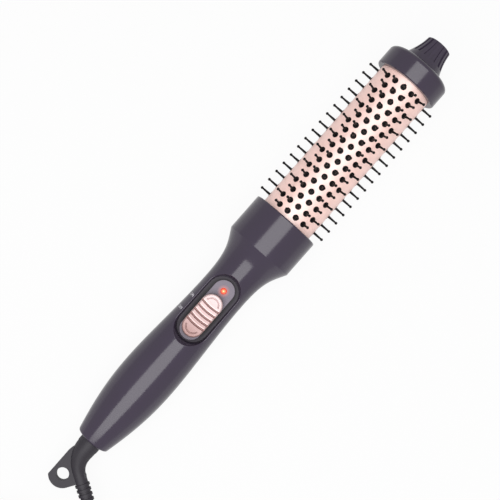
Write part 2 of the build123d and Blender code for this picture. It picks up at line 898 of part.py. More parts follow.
def guard_root():
    """The gland's bent, narrowing end, which runs over into the bend guard."""
    end = guard_bend_end()
    path = Bezier((-gland_blend_from, 0, 0), (-gland_blend_from - gland_blend_pull, 0, 0),
                  tuple(end - guard_way * guard_blend_pull), tuple(end))
    sections = []
    for share in (0, 0.25, 0.5, 0.75, 1):
        narrowing = 3 * share ** 2 - 2 * share ** 3
        radius = gland_radius - gland_step + (guard_radius - gland_radius + gland_step) * narrowing
        at = Plane(origin=path @ share, z_dir=path % share)
        sections.append(at * Circle(radius))
    return loft(sections)


def strain_relief():
    """One soft moulding: swivel flange and neck, gland, hanging loop and ribbed bend guard."""
    body = rod(swivel_flange_radius, handle_wall + swivel_gap, swivel_back())
    body += rod(neck_radius, -gland_blend_from, handle_wall + swivel_gap + 0.1)
    body += rod(gland_radius, -gland_blend_from - gland_step, -swivel_gap)
    body += guard_root()
    along = Plane(origin=guard_bend_end(), z_dir=guard_way)
    body += along * Cone(guard_radius, guard_tip_radius, guard_straight, align=on_end)
    for i in range(guard_ribs):
        share = i / (guard_ribs - 1)
        radius = guard_rib_radius + share * (guard_rib_tip_radius - guard_rib_radius)
        body += along * Pos(0, 0, guard_rib_start + i * guard_rib_pitch) * Cylinder(radius, guard_rib_width)
    ear = Pos(loop_x, loop_y) * Circle(loop_radius)
    root = Pos(web_root_x, 0) * Circle(gland_radius - gland_step)
    knuckle = Pos(guard_bend_end().X, guard_bend_end().Y) * Circle(guard_radius - 0.2)
    web = make_hull((ear + root).edges()) + make_hull((ear + knuckle).edges())
    far = 2 * abs(loop_x)
    web &= Pos(0, loop_top) * Rectangle(2 * far, far, align=(Align.CENTER, Align.MAX))
    web -= Pos(loop_x, loop_y) * Circle(loop_hole_radius)
    body += Pos(0, 0, -loop_thickness / 2) * extrude(web, loop_thickness)
    return body


def rest_tilt():
    """The angle at which the handle's belly and the first pin touch the surface together."""
    pin_x = collar_front + even_row_start
    best = 90.0
    steps = 400
    rise = math.tan(math.radians(end_slope))
    first = (end_radius, end_radius + end_pull * rise, belly_radius, belly_radius)
    along = (0, end_pull, belly_from_end - belly_back_pull, belly_from_end)
    second = (belly_radius, belly_radius, waist_radius, waist_radius)
    after_belly = belly_from_end + belly_front_pull
    onward = (belly_from_end, after_belly, waist_from_end - waist_back_pull, waist_from_end)
    for xs, radii in ((along, first), (onward, second)):
        for i in range(steps + 1):
            x, radius = (bezier_value(values, i / steps) for values in (xs, radii))
            best = min(best, math.degrees(math.atan2(pin_tip_radius - radius, pin_x - x)))
    return best


def bezier_value(values, t):
    """A cubic curve's value at t, from its four control values."""
    s = 1 - t
    return s ** 3 * values[0] + 3 * s * s * t * values[1] + 3 * s * t * t * values[2] + t ** 3 * values[3]


def biarc(start, start_way, end, end_way):
    """Two tangent arcs from one point and direction to another."""
    chord = end - start
    ways = start_way + end_way
    share = 2 * (1 - start_way.dot(end_way))
    along = chord.dot(ways)
    reach = (-along + math.sqrt(along * along + share * chord.dot(chord))) / share
    middle = (start + end + (start_way - end_way) * reach) * 0.5
    first = TangentArc(tuple(start), tuple(middle), tangent=tuple(start_way))
    second = TangentArc(tuple(middle), tuple(end), tangent=tuple(first % 1))
    return [first, second]


def coil_step():
    return (cord_diameter + coil_turn_gap) / 2


def coil_corners():
    """The coil's half turns, in and out twice: (side, centre, radius, layer at start, layer at end)."""
    turns = []
    x = coil_inner_radius + coil_steps * coil_step()
    for i in range(4 * coil_steps):
        layer, place = divmod(i, coil_steps)
        steps = place if layer % 2 else coil_steps - place
        radius = coil_inner_radius + steps * coil_step()
        below = layer if place else max(layer - 1, 0)
        side = 1 if i % 2 == 0 else -1
        turns.append((side, x - side * radius, radius, below, layer))
        x -= 2 * side * radius
    return turns, x


def coil_ahead():
    turn = math.radians(coil_heading)
    return Vector(math.cos(turn), math.sin(turn), 0)


def coil_point(x, y, layer):
    """A point of the coil: x across the cord's heading, y along it, and its layer."""
    ahead = coil_ahead()
    across = Vector(-ahead.Y, ahead.X, 0)
    height = cord_lift + cord_diameter / 2 + layer * (cord_diameter + coil_turn_gap)
    return Vector(*coil_place, height) + across * x + ahead * y


def coil_route():
    """The coil's whole path: in, up a layer, out, up, in, up and out, then down to the plug."""
    ahead = coil_ahead()
    turns, last_x = coil_corners()
    outer = turns[0][1] + turns[0][2]
    entry = coil_point(outer, -cord_diameter, 0)
    edges = [Line(tuple(entry), tuple(coil_point(outer, 0, 0)))]
    for side, middle, radius, below, above in turns:
        first = coil_point(middle + side * radius, 0, below)
        last = coil_point(middle - side * radius, 0, above)
        edges += biarc(first, ahead * side, last, ahead * -side)
    top = coil_point(last_x, 0, 3)
    low = coil_point(last_x, coil_exit_run, 1)
    fall = TangentArc(tuple(top), tuple((top + low) * 0.5), tangent=tuple(ahead))
    level = TangentArc(tuple((top + low) * 0.5), tuple(low), tangent=tuple(fall % 1))
    end = low + ahead * cord_diameter
    return edges + [fall, level, Line(tuple(low), tuple(end))], entry, end


def least_gap(edges):
    """The smallest gap between the tube and itself, measured on points along its centre line."""
    points = []
    gone = 0.0
    for edge in edges:
        count = max(2, round(edge.length / 3))
        for i in range(count):
            points.append((gone + edge.length * i / count, edge @ (i / count)))
        gone += edge.length
    best = 1e9
    for i, (at, p) in enumerate(points):
        for there, q in points[i + 1:]:
            if there - at > 4 * cord_diameter:
                best = min(best, (p - q).length)
    return best - cord_diameter


def tube(edges, name):
    """A round cord along tangent edges, with its volume set against section times length."""
    path = Wire(edges)
    start = Plane(origin=path @ 0, z_dir=path % 0)
    made = sweep(start * Circle(cord_diameter / 2), path=path)
    section = math.pi * cord_diameter ** 2 / 4
    ratio = made.volume / (section * path.length)
    print(name, "length", round(path.length, 1), "volume ratio", round(ratio, 4))
    return made


def cord_route(start, way, entry):
    """The free stretch: out of the bend guard, down to the surface and along it to the coil."""
    first = start + way * cord_first_run
    last = entry - coil_ahead() * cord_last_run
    return [start, first, *(Vector(*bend) for bend in cord_bends), last, entry]


def arc_radii(points):
    """Each corner's radius: 0.45 of its shorter run over the tangent of half its turn."""
    radii = []
    for before, at, after in zip(points, points[1:], points[2:]):
        turn = math.radians((at - before).get_angle(after - at))
        radii.append(0.45 * min((at - before).length, (after - at).length) / math.tan(turn / 2))
    return radii


def power_cord(points):
    radii = arc_radii(points)
    print("cord radii", [round(r) for r in radii])
    route = FilletPolyline(*points, radius=radii)
    return tube(route.edges(), "power_cord")


def cord_tie():
    """A flat band round all the strands on the coil's side towards the brush."""
    reach = coil_step() + tie_width / 2
    inner_strand = math.sqrt((coil_inner_radius + coil_step()) ** 2 - reach ** 2)
    inner = inner_strand - cord_diameter / 2 - 2 * tie_gap
    outer = coil_inner_radius + 3 * coil_step() + cord_diameter / 2 + 2 * tie_gap
    low = cord_lift - tie_gap
    high = cord_lift + 4 * cord_diameter + 3 * coil_turn_gap + tie_gap
    middle = Pos(-(inner + outer) / 2, 0, (low + high) / 2)
    hole = Box(outer - inner, tie_width, high - low)
    band = Box(outer - inner + 2 * tie_thickness, tie_width, high - low + 2 * tie_thickness)
    band = fillet(band.edges().filter_by(Axis.Y), tie_thickness)
    return Pos(*coil_place, 0) * Rot(Z=coil_heading) * middle * (band - hole)


def plug_frame(end, way):
    """The plug's own frame: Z along the cord towards the blades, Y up."""
    return Plane(origin=end, x_dir=Vector(0, 0, 1).cross(way), z_dir=way)


def plug_body(end, way):
    """The moulded plug, lying flat on the surface beyond the coil."""
    thick = 2 * end.Z
    relief = Cone(plug_relief_tip, 1.5 * plug_relief_tip, plug_relief, align=on_end)
    outline = RectangleRounded(plug_body_width, thick, plug_corner)
    grip = Pos(0, 0, plug_relief) * extrude(outline, plug_body_length)
    grip = fillet(grip.edges().group_by(Axis.Z)[0], 2.5)
    return plug_frame(end, way) * (relief + grip)


def plug_blades(end, way):
    front = plug_relief + plug_body_length
    blade = Pos(0, 0, front) * Box(blade_thickness, blade_height, blade_length, align=on_end)
    blade = chamfer(blade.edges().group_by(Axis.Z)[-1], 0.4)
    pair = [Pos(side * blade_spacing / 2, 0, 0) * blade for side in (-1, 1)]
    return Compound(children=[plug_frame(end, way) * one for one in pair])


def build():
    """Every node in its place, the brush lying on its back with its box's bottom centre at the origin."""
    strips = {kind: pin_strip(kind) for kind in ("even", "odd", "side")}
    spreader = heat_spreader()
    nodes = {
        "handle_front_shell": handle_front_shell(),
        "handle_rear_shell": handle_rear_shell(),
        "shell_screws": shell_screws(),
        "barrel_collar": barrel_collar(),
        "barrel_base": barrel_base(),
        "barrel": barrel(),
        "heat_spreader_front": spreader,
        "heat_spreader_back": Rot(X=180) * spreader,
        "ptc_heater": ptc_heater(),
        "insulating_films": insulating_films(),
        "thermal_fuse": thermal_fuse(),
        "heater_leads": heater_leads(),
        "tip_plug": tip_plug(),
        "tip_screws": tip_screws(),
        "tip_cap": tip_cap(),
        "switch_plate": switch_plate(),
        "switch_knob": switch_knob(),
        "switch_lever": switch_lever(),
        "slide_switch": slide_switch(),
        "circuit_board": circuit_board(),
        "board_screws": board_screws(),
        "board_parts": board_parts(),
        "pilot_led": pilot_led(),
        "indicator_lens": indicator_lens(),
        "contact_carrier": contact_carrier(),
        "contact_brushes": contact_brushes(),
        "supply_leads": supply_leads(),
        "slip_ring_drum": slip_ring_drum(),
        "slip_rings": slip_rings(),
        "strain_relief": strain_relief(),
    }
    for name, turn, kind in pin_rows():
        nodes[name] = Rot(X=-turn) * strips[kind]

    tilt = rest_tilt()
    nodes = {name: Rot(Y=-tilt) * shape for name, shape in nodes.items()}
    boxes = [shape.bounding_box() for name, shape in nodes.items() if name != "strain_relief"]
    low = Vector(*(min(getattr(box.min, axis) for box in boxes) for axis in "XYZ"))
    high = Vector(*(max(getattr(box.max, axis) for box in boxes) for axis in "XYZ"))
    shift = Pos(-(low.X + high.X) / 2, -(low.Y + high.Y) / 2, -low.Z)
    nodes = {name: shift * shape for name, shape in nodes.items()}
    lay = shift * Rot(Y=-tilt)
    print("tilt", round(tilt, 3), "shift", [round(v, 3) for v in shift.position])

    start = (lay * Pos(*guard_tip())).position
    way = (lay * Pos(*(guard_tip() + guard_way))).position - start
    edges, entry, end = coil_route()
    print("coil least gap to itself", round(least_gap(edges), 3))
    points = cord_route(start, way, entry)
    print("cord points", [[round(v, 2) for v in p] for p in points])
    nodes["cord_coil"] = tube(edges, "cord_coil")
    nodes["power_cord"] = power_cord(points)
    nodes["cord_tie"] = cord_tie()
    nodes["plug_body"] = plug_body(end, coil_ahead())
    nodes["plug_blades"] = plug_blades(end, coil_ahead())
    blade_ends = end + coil_ahead() * (plug_relief + plug_body_length + blade_length)
    print("blades end", [round(v, 3) for v in blade_ends], "way", [round(v, 5) for v in coil_ahead()])
    loop = (lay * Pos(loop_x, loop_y, 0)).position
    print("loop hole", [round(v, 3) for v in loop])
    print("swivel", [round(v, 3) for v in lay.position])
    return nodes


os.makedirs("parts", exist_ok=True)
for name, shape in build().items():
    export_step(shape, f"parts/{name}.step")
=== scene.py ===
import json
import math

import bmesh
import bpy
from mathutils import Matrix, Vector
from mathutils.bvhtree import BVHTree


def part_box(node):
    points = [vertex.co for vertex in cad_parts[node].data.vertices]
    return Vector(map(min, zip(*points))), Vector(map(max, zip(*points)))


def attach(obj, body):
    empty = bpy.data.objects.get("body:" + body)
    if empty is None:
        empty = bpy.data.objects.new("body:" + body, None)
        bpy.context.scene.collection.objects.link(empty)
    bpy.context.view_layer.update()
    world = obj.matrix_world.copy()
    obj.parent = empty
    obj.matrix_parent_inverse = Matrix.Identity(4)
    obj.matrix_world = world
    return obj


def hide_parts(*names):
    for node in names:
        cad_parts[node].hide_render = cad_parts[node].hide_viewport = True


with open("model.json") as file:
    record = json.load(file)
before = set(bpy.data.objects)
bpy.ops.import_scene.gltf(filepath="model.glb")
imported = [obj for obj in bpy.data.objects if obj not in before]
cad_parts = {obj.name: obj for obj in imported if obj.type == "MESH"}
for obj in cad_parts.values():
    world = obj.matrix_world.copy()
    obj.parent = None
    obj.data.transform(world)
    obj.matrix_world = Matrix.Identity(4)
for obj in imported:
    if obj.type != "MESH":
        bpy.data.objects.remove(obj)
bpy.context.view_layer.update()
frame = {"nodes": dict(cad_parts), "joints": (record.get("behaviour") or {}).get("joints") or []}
nodes = frame["nodes"]
scene = bpy.context.scene
scene.view_settings.view_transform = "Standard"

# The brush's own axes
# The brush lies on its back, leaning on its first pins, so its axis climbs towards the tip.
# Its own frame has X along the axis from the cord end of the handle, and Z through the switch.
swivel_joint = next(joint for joint in frame["joints"] if joint["name"] == "cord_swivel")
brush_axis = Vector(swivel_joint["axis"])
lean = math.atan2(brush_axis.z, brush_axis.x)
lie = Matrix.Translation(swivel_joint["pos_m"]) @ Matrix.Rotation(-lean, 4, "Y")
to_brush = lie.inverted()

# Camera
# It looks straight at the switch side from arm's length, with the tip towards the top right. It is square
# to the brush's own plane and not to the table, because the brush leans.
camera_place = Vector((0.1601, 0.00478, 0.672))
image_up = Vector((0.7507, 0.6606, 0)).normalized()
away_from_brush = Vector((0, 0, 1))
view_angle = math.radians(27.17)
camera_data = bpy.data.cameras.new("camera")
camera_data.angle = view_angle
camera = bpy.data.objects.new("camera", camera_data)
scene.collection.objects.link(camera)
camera_axes = Matrix((image_up.cross(away_from_brush), image_up, away_from_brush)).transposed().to_4x4()
camera.matrix_world = lie @ Matrix.Translation(camera_place) @ camera_axes
scene.camera = camera

# Cord
# A round flex of 6.2 mm in soft black vinyl, 1.8 m long. It leaves the bend guard, drops to the table
# and is put away in a neat coil of four layers, tied at one side, with its plug beyond it.
cord_radius = 0.0031
route = [
    (-0.20908, -0.03522, 0.01415), (-0.21584, -0.04632, 0.0138), (-0.22586, -0.0549, 0.0113),
    (-0.23957, -0.06038, 0.007), (-0.25483, -0.06218, 0.0036), (-0.26728, -0.06109, 0.0036),
]
coil_centre = Vector((-0.27, -0.021, 0))
coil_heading = math.radians(175)
coil_ahead = Vector((math.cos(coil_heading), math.sin(coil_heading), 0))
coil_across = Vector((-coil_ahead.y, coil_ahead.x, 0))
coil_layers = 4
layer_low = 0.0036
layer_rise = 0.0067
half_turn_step = 0.00335
inner_radius = 0.0263
half_turns_in_layer = 4
points_in_half_turn = 8
# The spline runs a little inside its points, so they stand out by this much
stand_out = 1 / math.cos(math.pi / points_in_half_turn / 2)
# The layers spiral in and out by turns, and each climbs to the next in the half turn where it reverses
start = inner_radius + half_turns_in_layer * half_turn_step
for turn in range(coil_layers * half_turns_in_layer):
    layer, place = divmod(turn, half_turns_in_layer)
    steps = place if layer % 2 else half_turns_in_layer - place
    radius = inner_radius + steps * half_turn_step
    side = 1 if turn % 2 == 0 else -1
    middle = start - side * radius
    climbs = place == 0 and layer > 0
    for i in range(points_in_half_turn):
        share = (i + 0.5) / points_in_half_turn
        angle = share * math.pi
        height = layer_low + (layer - 1 + share if climbs else layer) * layer_rise
        x = middle + side * radius * stand_out * math.cos(angle)
        y = side * radius * stand_out * math.sin(angle)
        route.append(coil_centre + coil_across * x + coil_ahead * y + Vector((0, 0, height)))
    start -= 2 * side * radius
# Down from the top layer to the plug, which lies flat beyond the coil: how far along, how many layers up
plug_drop = ((0.012, 3), (0.0225, 2.3), (0.033, 1), (0.045, 1), (0.0512, 1))
for along, layer in plug_drop:
    height = layer_low + layer * layer_rise
    route.append(coil_centre + coil_across * start + coil_ahead * along + Vector((0, 0, height)))

# The bevel is a metre times the radius of each point, so the points give the cord its thickness
cord_curve = bpy.data.curves.new("mains_cord", "CURVE")
cord_curve.dimensions = "3D"
cord_curve.bevel_depth = 1
cord_curve.bevel_resolution = 6
cord_curve.resolution_u = 5
cord_curve.use_fill_caps = True
spline = cord_curve.splines.new("NURBS")
spline.points.add(len(route) - 1)
for point, place in zip(spline.points, route):
    point.co = (*place, 1)
    point.radius = cord_radius
spline.order_u = 3
spline.use_endpoint_u = True
cord = bpy.data.objects.new("mains_cord", cord_curve)
scene.collection.objects.link(cord)
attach(cord, "swivel")
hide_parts("power_cord", "cord_coil")

# Strain relief, plug and tie
# Soft black PVC, moulded round the cord or extruded over its wires: matt, with a dull sheen on its
# rounded edges. The cord's own jacket is the same.


def linear(code):
    """The linear colour of an sRGB hex code, as the shaders want it."""
    values = [int(code[i:i + 2], 16) / 255 for i in (0, 2, 4)]
    return [v / 12.92 if v <= 0.04045 else ((v + 0.055) / 1.055) ** 2.4 for v in values] + [1]


def add_node(tree, kind, inputs=None, **settings):
    """Adds a node to a material with its settings. Each input, by name or number, is given a value, a
    hex colour, a socket, or a node whose first output in use it takes."""
    node = tree.nodes.new(kind)
    for name, value in settings.items():
        setattr(node, name, value)
    for name, value in (inputs or {}).items():
        if isinstance(value, bpy.types.Node):
            value = next(output for output in value.outputs if output.enabled)
        if isinstance(value, bpy.types.NodeSocket):
            tree.links.new(value, node.inputs[name])
        else:
            node.inputs[name].default_value = linear(value) if isinstance(value, str) else value
    return node


def new_material(name, **shader):
    """A material with one principled shader, whose sockets are set by name; returns both, and the tree."""
    material = bpy.data.materials.new(name)
    material.use_nodes = True
    tree = material.node_tree
    principled = tree.nodes["Principled BSDF"]
    for socket, value in shader.items():
        principled.inputs[socket.replace("_", " ")].default_value = value
    return material, tree, principled


def brush_coordinates(tree):
    """The object's coordinates turned into the brush's own, so that Z = 0 is its parting plane."""
    place = add_node(tree, "ShaderNodeTexCoord")
    return add_node(tree, "ShaderNodeMapping", {
        "Vector": place.outputs["Object"], "Location": to_brush.to_translation(),
        "Rotation": to_brush.to_euler()})


def add_skin(tree, shader, where, grain_mm, height_mm, base, shift):
    """A fine moulded grain of a real size as bump, and a slight drift of the colour over the piece."""
    grain = add_node(tree, "ShaderNodeTexNoise", {"Vector": where, "Scale": 1000 / grain_mm, "Detail": 3.0})
    bump = add_node(tree, "ShaderNodeBump", {"Height": grain, "Distance": height_mm / 1000, "Strength": 1.0})
    tree.links.new(bump.outputs["Normal"], shader.inputs["Normal"])
    drift_mm = 25
    drift = add_node(tree, "ShaderNodeTexNoise", {"Vector": where, "Scale": 1000 / drift_mm, "Detail": 2.0})
    mixed = add_node(tree, "ShaderNodeMix", {0: drift, "A": base, "B": shift}, data_type="RGBA")
    tree.links.new(mixed.outputs["Result"], shader.inputs["Base Color"])
    return mixed


def paint(names, material):
    """Gives CAD nodes a material in place of their plain one."""
    for name in names:
        data = nodes[name].data
        data.materials.clear()
        data.materials.append(material)


vinyl_material, vinyl_tree, vinyl_shader = new_material(
    "soft_black_pvc", Roughness=0.5, IOR=1.5, Specular_IOR_Level=0.3)
add_skin(
    vinyl_tree, vinyl_shader, brush_coordinates(vinyl_tree), grain_mm=0.6, height_mm=0.004,
    base="2E2B31", shift="343137")
paint(["strain_relief", "plug_body", "cord_tie", "power_cord", "cord_coil"], vinyl_material)
cord_curve.materials.append(vinyl_material)

# Handle, collar and cool tip
# Injection moulded in one dark plum-grey ABS with a smooth, half-gloss skin: it shows the lamp as
# clean-edged strips, over a very fine orange peel.
moulded_roughness = 0.16
abs_material, abs_tree, abs_shader = new_material("moulded_plum_abs", Roughness=moulded_roughness, IOR=1.54)
abs_where = brush_coordinates(abs_tree)
abs_colour = add_skin(
    abs_tree, abs_shader, abs_where, grain_mm=1.2, height_mm=0.0005, base="332A3A", shift="382F41")
# The floor of the switch recess is spark eroded and matt. Its colour is painted shade: nearly black round
# the plate and lighter by the wall. The recess is a slot with round ends, so each point there is told by its
# way from the slot's line.
eroded_roughness = 0.7
recess_floor_top = 0.0095
recess_middle = 0.11373
recess_half_straight = 0.01408
recess_half_width = 0.0125
shade_darkest_to = 0.0082
shade_lightest_from = 0.0104
abs_axes = add_node(abs_tree, "ShaderNodeSeparateXYZ", {0: abs_where})
off_middle = add_node(
    abs_tree, "ShaderNodeMath", {0: abs_axes.outputs["X"], 1: recess_middle}, operation="SUBTRACT")
from_middle = add_node(abs_tree, "ShaderNodeMath", {0: off_middle}, operation="ABSOLUTE")
past_line = add_node(
    abs_tree, "ShaderNodeMath", {0: from_middle, 1: recess_half_straight}, operation="SUBTRACT")
past_line = add_node(abs_tree, "ShaderNodeMath", {0: past_line, 1: 0.0}, operation="MAXIMUM")
from_line = add_node(abs_tree, "ShaderNodeCombineXYZ", {0: past_line, 1: abs_axes.outputs["Y"]})
from_line = add_node(abs_tree, "ShaderNodeVectorMath", {0: from_line}, operation="LENGTH")
shade_by_wall = add_node(
    abs_tree, "ShaderNodeMapRange", {"Value": from_line, "From Min": shade_darkest_to, "From Max": shade_lightest_from})
# Painted shade: the recess colour darkens from the wall towards the plate
recess_painted_shade = add_node(
    abs_tree, "ShaderNodeMix", {0: shade_by_wall, "A": "19161B", "B": "3B353F"}, data_type="RGBA")
within = add_node(abs_tree, "ShaderNodeMath", {0: from_line, 1: recess_half_width}, operation="LESS_THAN")
low = add_node(
    abs_tree, "ShaderNodeMath", {0: abs_axes.outputs["Z"], 1: recess_floor_top}, operation="LESS_THAN")
in_recess = add_node(abs_tree, "ShaderNodeMath", {0: within, 1: low}, operation="MULTIPLY")
shell_colour = add_node(
    abs_tree, "ShaderNodeMix", {0: in_recess, "A": abs_colour, "B": recess_painted_shade}, data_type="RGBA")
shell_roughness = add_node(
    abs_tree, "ShaderNodeMapRange",
    {"Value": in_recess, "To Min": moulded_roughness, "To Max": eroded_roughness})
abs_tree.links.new(shell_colour.outputs["Result"], abs_shader.inputs["Base Color"])
abs_tree.links.new(shell_roughness.outputs["Result"], abs_shader.inputs["Roughness"])
paint(["handle_front_shell", "handle_rear_shell", "barrel_collar", "tip_cap"], abs_material)

# Barrel
# Drawn aluminium tube with a fired pearl pink ceramic coating. Its pearl flakes bend light strongly, so
# the lamp above shows as a broad white band between pink sides.
coat_material, coat_tree, coat_shader = new_material(
    "pearl_pink_ceramic", Roughness=0.6, IOR=2.8, Coat_Weight=1.0, Coat_IOR=2.5, Coat_Roughness=0.55)
add_skin(
    coat_tree, coat_shader, brush_coordinates(coat_tree), grain_mm=0.5, height_mm=0.001,
    base="FFC8BB", shift="FFCEC1")
paint(["barrel"], coat_material)

# Pins
# Heat-proof black nylon, moulded in rows: slightly glossy on the tapered shafts and ball tips.
# The pieces that hold the barrel, the lever and the swivel are moulded in it too.
nylon_material, nylon_tree, nylon_shader = new_material(
    "black_nylon", Roughness=0.5, IOR=1.5, Specular_IOR_Level=0.15)
add_skin(
    nylon_tree, nylon_shader, brush_coordinates(nylon_tree), grain_mm=0.4, height_mm=0.001,
    base="0A090A", shift="0E0C0E")
paint([name for name in nodes if name.endswith("pin_row") or "_pin_row_" in name], nylon_material)
paint(["barrel_base", "tip_plug", "switch_lever", "contact_carrier", "slip_ring_drum"], nylon_material)

# Switch plate
# A plain mid-grey ABS plate, dull from its spark-eroded mould. The faint orange ring round the lit lens is
# painted light: the plate's own emission glows there.
plate_material, plate_tree, plate_shader = new_material(
    "grey_matt_abs", Roughness=0.5, IOR=1.53, Emission_Strength=0.4)
plate_where = brush_coordinates(plate_tree)
add_skin(
    plate_tree, plate_shader, plate_where, grain_mm=0.4, height_mm=0.008, base="716875", shift="7A717E")
lens_low, lens_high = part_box("indicator_lens")
lens_centre = to_brush @ ((lens_low + lens_high) / 2)
lens_radius = 0.002
painted_glow_reach = 0.0042


def reach_from_lens(tree, where):
    """How far a point is from the middle of the pilot light, seen along the switch's own axis."""
    axes = add_node(tree, "ShaderNodeSeparateXYZ", {0: where})
    off_x = add_node(
        tree, "ShaderNodeMath", {0: axes.outputs["X"], 1: lens_centre.x}, operation="SUBTRACT")
    flat = add_node(tree, "ShaderNodeCombineXYZ", {0: off_x, 1: axes.outputs["Y"]})
    return add_node(tree, "ShaderNodeVectorMath", {0: flat}, operation="LENGTH")


# Painted light: the plate glows orange round the lens and fades out by the glow's reach
past_lens = add_node(plate_tree, "ShaderNodeMapRange", {
    "Value": reach_from_lens(plate_tree, plate_where), "From Min": lens_radius, "From Max": painted_glow_reach})
ring = add_node(plate_tree, "ShaderNodeMix", {0: past_lens, "A": "E06038", "B": "000000"}, data_type="RGBA")
plate_tree.links.new(ring.outputs["Result"], plate_shader.inputs["Emission Color"])
paint(["switch_plate"], plate_material)

# Switch knob
# ABS with a rose gold metal film: bright and half mirrored. Its colour carries painted light: paler towards
# the tip, a painted highlight along each rib and painted shade in its grooves.
knob_material, knob_tree, knob_shader = new_material(
    "rose_gold_film", Metallic=0.3, Roughness=0.3, IOR=1.5)
knob_where = brush_coordinates(knob_tree)
film_colour = add_skin(
    knob_tree, knob_shader, knob_where, grain_mm=0.4, height_mm=0.001, base="8C6A66", shift="94736F")
# Painted light: the film's colour is painted paler towards the tip
tip_light_from = 0.094
tip_light_fullest_at = 0.123
knob_axes = add_node(knob_tree, "ShaderNodeSeparateXYZ", {0: knob_where})
painted_tip_light = add_node(knob_tree, "ShaderNodeMapRange", {
    "Value": knob_axes.outputs["X"], "From Min": tip_light_from, "From Max": tip_light_fullest_at})
film_colour = add_node(
    knob_tree, "ShaderNodeMix", {0: painted_tip_light, "A": film_colour, "B": "CAB2B2"}, data_type="RGBA")
# The grooves are bowed towards the tip, so each point counts from the bow through it
groove_pitch = 0.00365
groove_bow = 0.032
knob_middle = 0.10875
ribs_to_middle = 2.5
first_rib = knob_middle - ribs_to_middle * groove_pitch
across = knob_axes.outputs["Y"]
across_squared = add_node(knob_tree, "ShaderNodeMath", {0: across, 1: across}, operation="MULTIPLY")
bow_height = add_node(
    knob_tree, "ShaderNodeMath", {0: groove_bow ** 2, 1: across_squared}, operation="SUBTRACT")
bow_height = add_node(knob_tree, "ShaderNodeMath", {0: bow_height, 1: 0.5}, operation="POWER")
bow_drop = add_node(knob_tree, "ShaderNodeMath", {0: groove_bow, 1: bow_height}, operation="SUBTRACT")
along_ribs = add_node(
    knob_tree, "ShaderNodeMath", {0: knob_axes.outputs["X"], 1: bow_drop}, operation="SUBTRACT")
along_ribs = add_node(knob_tree, "ShaderNodeMath", {0: along_ribs, 1: first_rib}, operation="SUBTRACT")
rib_count = add_node(knob_tree, "ShaderNodeMath", {0: along_ribs, 1: groove_pitch}, operation="DIVIDE")
rib_place = add_node(knob_tree, "ShaderNodeMath", {0: rib_count}, operation="FRACT")
# A painted highlight lies bright along one edge of each rib
highlight_middle = 2.75
highlight_reach = 2.85
highlight_strength = 0.6
rib_highlight = add_node(knob_tree, "ShaderNodeValToRGB", {0: rib_place})
highlight_stops = rib_highlight.color_ramp.elements
highlight_stops[0].position = 0.62
highlight_stops[1].position = 0.95
highlight_stops[0].color = linear("000000")
highlight_stops[1].color = linear("000000")
highlight_stops.new(0.74).color = linear("FFFFFF")
from_highlight_middle = add_node(
    knob_tree, "ShaderNodeMath", {0: rib_count, 1: highlight_middle}, operation="SUBTRACT")
from_highlight_middle = add_node(knob_tree, "ShaderNodeMath", {0: from_highlight_middle}, operation="ABSOLUTE")
on_ribs = add_node(
    knob_tree, "ShaderNodeMath", {0: from_highlight_middle, 1: highlight_reach}, operation="LESS_THAN")
highlight_share = add_node(knob_tree, "ShaderNodeMath", {0: on_ribs, 1: highlight_strength}, operation="MULTIPLY")
highlight_share = add_node(knob_tree, "ShaderNodeMath", {0: rib_highlight, 1: highlight_share}, operation="MULTIPLY")
film_with_highlight = add_node(
    knob_tree, "ShaderNodeMix", {0: highlight_share, "A": film_colour, "B": "EBD8D6"}, data_type="RGBA")
# Painted shade: the film is painted darker where it lies lower than the rib tops, as in the grooves
groove_floor = 0.01455
groove_top = 0.0152
out_of_groove_shade = add_node(knob_tree, "ShaderNodeMapRange", {
    "Value": knob_axes.outputs["Z"], "From Min": groove_floor, "From Max": groove_top})
knob_colour = add_node(
    knob_tree, "ShaderNodeMix", {0: out_of_groove_shade, "A": "7C5652", "B": film_with_highlight}, data_type="RGBA")
knob_tree.links.new(knob_colour.outputs["Result"], knob_shader.inputs["Base Color"])
paint(["switch_knob"], knob_material)

# Pilot light
# A clear acrylic light pipe over an orange lamp, pushed into the plate from behind: white hot in the
# middle, deep orange at its rim.
lamp_material, lamp_tree, lamp_shader = new_material(
    "lit_orange_lens", Roughness=0.15, IOR=1.49, Emission_Strength=1.0)
to_rim = add_node(lamp_tree, "ShaderNodeMapRange", {
    "Value": reach_from_lens(lamp_tree, brush_coordinates(lamp_tree)), "From Min": 0.0,
    "From Max": lens_radius})
glow = add_node(lamp_tree, "ShaderNodeValToRGB", {0: to_rim})
glow_stops = glow.color_ramp.elements
glow_stops[0].position = 0.05
glow_stops[1].position = 0.72
glow_stops[0].color = linear("FFD090")
glow_stops[1].color = linear("B83008")
glow_stops.new(0.34).color = linear("EC6A24")
lamp_tree.links.new(glow.outputs["Color"], lamp_shader.inputs["Base Color"])
lamp_tree.links.new(glow.outputs["Color"], lamp_shader.inputs["Emission Color"])
paint(["indicator_lens", "pilot_led"], lamp_material)

